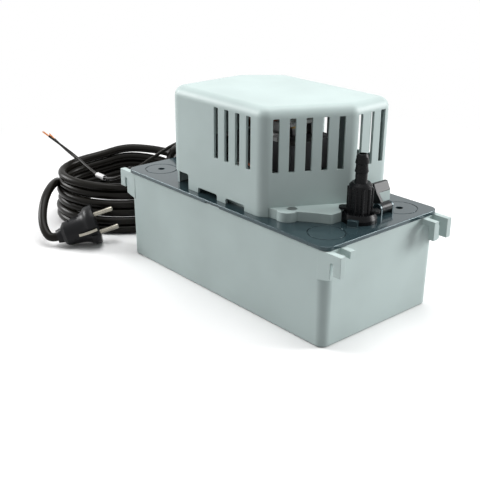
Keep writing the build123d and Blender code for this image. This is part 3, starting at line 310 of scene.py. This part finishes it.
alarm = {
    "radius": 0.0016,
    "points": [(-0.077, 0.008, 0.105), (-0.098, 0.007, 0.1035), (-0.119, 0.006, 0.1005),
               (-0.139, 0.000, 0.092), (-0.154, -0.012, 0.079), (-0.165, -0.028, 0.066),
               (-0.176, -0.043, 0.0565), (-0.190, -0.0475, 0.0530), (-0.208, -0.0475, 0.0525),
               (-0.237, -0.043, 0.0545), (-0.262, -0.041, 0.0600), (-0.283, -0.044, 0.0665),
               (-0.3005, -0.0495, 0.0745)],
    "slim": (0.72, 0.72, 0.72, 0.9), "strandRadius": 0.00115,
    "strand": [(-0.2600, -0.0420, 0.0580), (-0.2800, -0.0425, 0.0630), (-0.2960, -0.0455, 0.0715)],
    "bare": 0.0095, "wireRadius": 0.0003, "wires": 7, "tuck": 0.001, "bundle": 0.00045, "bow": 0.0001,
    "shortest": 0.86, "longerBy": 0.05, "opens": 0.0006, "opensMore": 0.0002,
}
alarmLead = leadCurve("alarmLead", alarm["points"], alarm["radius"], leadBlack, alarm["slim"])
alarmLength = lineLength(alarmLead)
print("alarm lead", round(alarmLength, 3))
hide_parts("alarm_lead")
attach(alarmLead, root)
alarmStrand = leadCurve("alarmStrand", alarm["strand"], alarm["strandRadius"], leadBlack)
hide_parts("alarm_lead")
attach(alarmStrand, root)


def frayedEnd(name, tip, way, uneven):
    # one core straight and the rest in a ring that opens a little
    wires = []
    side = way.orthogonal().normalized()
    for i in range(alarm["wires"]):
        turn = 2 * pi * i / (alarm["wires"] - 1)
        out = side * cos(turn) + way.cross(side) * sin(turn)
        spread = 0.0 if i == 0 else 1.0
        share = alarm["shortest"] + alarm["longerBy"] * ((i * uneven) % 4)
        opening = alarm["opens"] + alarm["opensMore"] * (i % 3)
        start = tip - way * alarm["tuck"] + out * alarm["bundle"] * spread
        end = tip + way * alarm["bare"] * share + out * opening * spread
        bow = start.lerp(end, 0.5) + out * alarm["bow"]
        wires.append(leadCurve(name + str(i), [tuple(start), tuple(bow), tuple(end)], alarm["wireRadius"], copper,
                               around=1, along=3))
    deselectAll()
    for wire in wires:
        wire.select_set(True)
    bpy.context.view_layer.objects.active = wires[0]
    bpy.ops.object.convert(target="MESH")
    bpy.ops.object.join()
    piece = bpy.context.object
    piece.name = name
    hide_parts("alarm_conductors")
    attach(piece, root)
    return piece


def lastWay(points):
    return (Vector(points[-1]) - Vector(points[-2])).normalized()


frayedA = frayedEnd("alarmWiresA", Vector(alarm["points"][-1]), lastWay(alarm["points"]), 3)
frayedB = frayedEnd("alarmWiresB", Vector(alarm["strand"][-1]), lastWay(alarm["strand"]), 5)


def pick(obj):
    deselectAll()
    obj.select_set(True)
    bpy.context.view_layer.objects.active = obj


def applyPlace(obj):
    pick(obj)
    bpy.ops.object.transform_apply(location=True, rotation=True, scale=True)


def applyAll(obj):
    pick(obj)
    for modifier in list(obj.modifiers):
        bpy.ops.object.modifier_apply(modifier=modifier.name)


def smoothBy(obj, angle):
    pick(obj)
    bpy.ops.object.shade_smooth_by_angle(angle=radians(angle))


def joined(pieces, name):
    deselectAll()
    for piece in pieces:
        piece.select_set(True)
    bpy.context.view_layer.objects.active = pieces[0]
    bpy.ops.object.join()
    bpy.context.object.name = name
    return bpy.context.object


def faceOutwards():
    bpy.ops.mesh.select_all(action="SELECT")
    bpy.ops.mesh.normals_make_consistent(inside=False)
    bpy.ops.object.mode_set(mode="OBJECT")


def turned(name, rings, sides=64):
    # a disc pulled down ring by ring, as on a lathe
    deselectAll()
    bpy.ops.mesh.primitive_circle_add(vertices=sides, radius=rings[0][1], fill_type="NGON", location=(0, 0, 0))
    obj = bpy.context.object
    obj.name = name
    bpy.ops.object.mode_set(mode="EDIT")
    bpy.ops.mesh.select_all(action="SELECT")
    for (depth, radius), (lower, narrower) in zip(rings, rings[1:]):
        bpy.ops.mesh.extrude_region_move(TRANSFORM_OT_translate={"value": (0, 0, depth - lower)})
        share = narrower / radius
        bpy.ops.transform.resize(value=(share, share, 1))
    faceOutwards()
    return obj


def cutWith(obj, cutter):
    cut = obj.modifiers.new("cut", "BOOLEAN")
    cut.operation = "DIFFERENCE"
    cut.solver = "EXACT"
    cut.object = cutter
    applyAll(obj)
    bpy.data.objects.remove(cutter)


def block(size, place, bevel, segments=3):
    deselectAll()
    bpy.ops.mesh.primitive_cube_add(size=1, location=place)
    obj = bpy.context.object
    obj.scale = size
    applyPlace(obj)
    bpy.ops.object.mode_set(mode="EDIT")
    bpy.ops.mesh.select_all(action="SELECT")
    bpy.ops.mesh.bevel(offset=bevel, segments=segments, affect="EDGES")
    bpy.ops.object.mode_set(mode="OBJECT")
    return obj


def standOnPlug(obj):
    # pins point along z, and the clips lie along x, until the plug is laid on the floor
    z = plugAxis
    x = Vector((z.y, -z.x, 0)).normalized()
    y = z.cross(x)
    obj.rotation_euler = Matrix((x, y, z)).transposed().to_euler()
    obj.location = plug["face"]
    applyPlace(obj)


plugBody = turned("plugBody", plug["rings"])
rim = plug["rings"][plug["rimRing"]][1]
for side in (1, -1):
    flatPlace = (side * (rim + plug["flatCut"][0] / 2 - plug["flatDepth"]), 0, plug["flatMiddle"])
    cutWith(plugBody, block(plug["flatCut"], flatPlace, plug["flatBevel"]))
    gripPlace = (0, side * (rim + plug["gripOut"]), plug["gripMiddle"])
    cutWith(plugBody, block(plug["gripCut"], gripPlace, plug["gripBevel"]))
for rib in range(plug["ribs"]):  # ribs that stop the fingers slipping
    ribPlace = (0, plug["ribSide"], plug["ribTop"] - plug["ribStep"] * rib)
    cutWith(plugBody, block(plug["ribCut"], ribPlace, plug["ribBevel"]))
rounder = plugBody.modifiers.new("round", "BEVEL")
rounder.width = plug["rounding"]
rounder.segments = 2
rounder.limit_method = "ANGLE"
rounder.angle_limit = radians(50)
applyAll(plugBody)
smoothBy(plugBody, 40)
standOnPlug(plugBody)
plugBody.data.materials.append(plugBlack)

pin = {"radius": 0.0024, "shank": 0.0022, "tip": [(0.0, 0.0011), (0.0003, 0.0018), (0.0010, 0.0023)],
       "headFrom": 0.0018, "headTo": 0.0070, "step": 0.0071, "spacing": 0.019, "length": 0.019, "sides": 32}
pinRings = pin["tip"] + [(pin["headFrom"], pin["radius"]), (pin["headTo"], pin["radius"]),
                         (pin["step"], pin["shank"]), (pin["length"], pin["shank"])]
pins = []
for side in (1, -1):
    pins.append(turned("plugPin", pinRings, pin["sides"]))
    pins[-1].location = (0, side * pin["spacing"] / 2, pin["length"])
    applyPlace(pins[-1])
plugPins = joined(pins, "plugPins")
smoothBy(plugPins, 40)
standOnPlug(plugPins)
plugPins.data.materials.append(pinMetalPaintedDark)

clip = {"width": 0.0026, "metal": 0.0006, "steps": 10, "stepLength": 0.0018, "bow": 0.00034, "lift": 0.0006,
        "top": -0.0012}
clips = []
for side in (1, -1):
    # spring strip that bows outwards in its recess
    deselectAll()
    bpy.ops.mesh.primitive_plane_add(size=1, location=(0, 0, 0))
    strip = bpy.context.object
    strip.scale = (clip["metal"], clip["width"], 1)
    applyPlace(strip)
    bpy.ops.object.mode_set(mode="EDIT")
    bpy.ops.mesh.select_all(action="SELECT")
    for step in range(clip["steps"]):
        out = clip["bow"] * cos(pi * (step + 0.5) / clip["steps"])
        bpy.ops.mesh.extrude_region_move(TRANSFORM_OT_translate={"value": (side * out, 0, -clip["stepLength"])})
    faceOutwards()
    strip.location = (side * (rim - plug["flatDepth"] + clip["lift"]), 0, clip["top"])
    applyPlace(strip)
    clips.append(strip)
plugClips = joined(clips, "plugClips")
smoothBy(plugClips, 40)
standOnPlug(plugClips)
plugClips.data.materials.append(pinMetalPaintedDark)
for piece, node, where in ((plugBody, "plug_body", "plug"), (plugPins, "plug_pins", "steel"),
                           (plugClips, "plug_clips", "steel")):
    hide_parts(node)
    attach(piece, root)
print("plug made")

# blank tag slipped over the alarm lead, its ends a little frayed
tag = {"from": 0.151, "length": 0.014, "radius": 0.0026, "wall": 0.0004, "sides": 28, "cuts": 3, "fray": 0.09,
       "crease": 0.05}
walked, tagLine = 0.0, []
alarmLine = linePoints(alarmLead)
for a, b in zip(alarmLine, alarmLine[1:]):
    walked += (b - a).length
    if tag["from"] <= walked <= tag["from"] + tag["length"]:
        tagLine.append(b)
deselectAll()
bpy.ops.mesh.primitive_cylinder_add(vertices=tag["sides"], radius=tag["radius"], depth=tag["length"],
                                    end_fill_type="NOTHING")
alarmTag = bpy.context.object
alarmTag.name = "alarmTag"
bpy.ops.object.mode_set(mode="EDIT")
bpy.ops.mesh.select_all(action="SELECT")
bpy.ops.mesh.subdivide(number_cuts=tag["cuts"])
bpy.ops.object.mode_set(mode="OBJECT")
for v in alarmTag.data.vertices:
    turn = atan2(v.co.y, v.co.x)
    if abs(v.co.z) > tag["length"] / 2 * 0.98:
        v.co.z *= 1 + tag["fray"] * sin(5 * turn) * sin(2 * turn + 1)
    v.co.x *= 1 + tag["crease"] * sin(3 * turn + 200 * v.co.z)
wall = alarmTag.modifiers.new("wall", "SOLIDIFY")
wall.thickness = tag["wall"]
applyAll(alarmTag)
smoothBy(alarmTag, 50)
alarmTag.rotation_euler = (tagLine[-1] - tagLine[0]).normalized().to_track_quat("Z", "Y").to_euler()
alarmTag.location = tagLine[0].lerp(tagLine[-1], 0.5)
applyPlace(alarmTag)
alarmTag.data.materials.append(tagWhite)
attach(alarmTag, root)
print("alarm lead ends made")


def inSight(tree):
    # 1 for the rays that meet the eye, straight or by gloss or glass
    path = tree.nodes.new("ShaderNodeLightPath")
    found = path.outputs["Is Camera Ray"]
    for ray in ("Is Glossy Ray", "Is Transmission Ray"):
        either = tree.nodes.new("ShaderNodeMath")
        either.operation = "MAXIMUM"
        tree.links.new(found, either.inputs[0])
        tree.links.new(path.outputs[ray], either.inputs[1])
        found = either.outputs[0]
    return found


ground = {"size": 8, "height": -0.0002, "tone": 0.9, "bounce": 0.34, "whiteFrom": 0.3, "whiteTo": 0.62}


def floorFinish(name):
    # white to the eye, and darker to the light that it throws back
    mat, tree, shader = newFinish(name, (ground["tone"],) * 3, 0.6)
    shader.inputs["Specular IOR Level"].default_value = 0.2
    dull = tree.nodes.new("ShaderNodeBsdfDiffuse")
    dull.inputs["Color"].default_value = (ground["bounce"], ground["bounce"], ground["bounce"] * 1.02, 1)
    glow = tree.nodes.new("ShaderNodeEmission")
    coords = tree.nodes.new("ShaderNodeTexCoord")
    away = tree.nodes.new("ShaderNodeVectorMath")
    away.operation = "LENGTH"
    tree.links.new(coords.outputs["Object"], away.inputs[0])
    fade = tree.nodes.new("ShaderNodeMapRange")
    fade.interpolation_type = "SMOOTHSTEP"
    fade.inputs["From Min"].default_value = ground["whiteFrom"]
    fade.inputs["From Max"].default_value = ground["whiteTo"]
    tree.links.new(away.outputs["Value"], fade.inputs["Value"])
    white = tree.nodes.new("ShaderNodeMixShader")
    tree.links.new(fade.outputs["Result"], white.inputs["Fac"])
    tree.links.new(shader.outputs["BSDF"], white.inputs[1])
    tree.links.new(glow.outputs["Emission"], white.inputs[2])
    both = tree.nodes.new("ShaderNodeMixShader")
    tree.links.new(inSight(tree), both.inputs["Fac"])
    tree.links.new(dull.outputs["BSDF"], both.inputs[1])
    tree.links.new(white.outputs["Shader"], both.inputs[2])
    tree.links.new(both.outputs["Shader"], tree.nodes["Material Output"].inputs["Surface"])
    return mat


deselectAll()
bpy.ops.mesh.primitive_plane_add(size=ground["size"], location=(0, 0, ground["height"]))
floor = bpy.context.object
floor.name = "floor"
applyPlace(floor)
floor.data.materials.append(floorFinish("paleFloor"))

aim = Vector((0, 0, 0.05))
lights = {
    "above": {"place": (-0.15, 0.10, 1.5), "power": 17, "size": 1.1},
    "leftFront": {"place": (-1.35, -0.80, 0.75), "power": 22, "size": 0.7},
    "rightBack": {"place": (0.85, 1.15, 0.6), "power": 23, "size": 0.7},
}
for name, light in lights.items():
    data = bpy.data.lights.new(name, "AREA")
    data.energy = light["power"]
    data.size = light["size"]
    lamp = bpy.data.objects.new(name, data)
    lamp.location = light["place"]
    lamp.rotation_euler = (aim - Vector(light["place"])).to_track_quat("-Z", "Y").to_euler()
    bpy.context.collection.objects.link(lamp)

sky = {"onObject": 0.3, "inSight": 1.0}
world = bpy.data.worlds.new("studio")
bpy.context.scene.world = world
world.use_nodes = True
worldTree = world.node_tree
backdrop = worldTree.nodes["Background"]
level = worldTree.nodes.new("ShaderNodeMapRange")
level.inputs["To Min"].default_value = sky["onObject"]
level.inputs["To Max"].default_value = sky["inSight"]
worldTree.links.new(inSight(worldTree), level.inputs["Value"])
worldTree.links.new(level.outputs["Result"], backdrop.inputs["Strength"])
backdrop.inputs["Color"].default_value = (1, 1, 1, 1)
bpy.context.scene.view_settings.view_transform = "Standard"
print("stage and light ready")
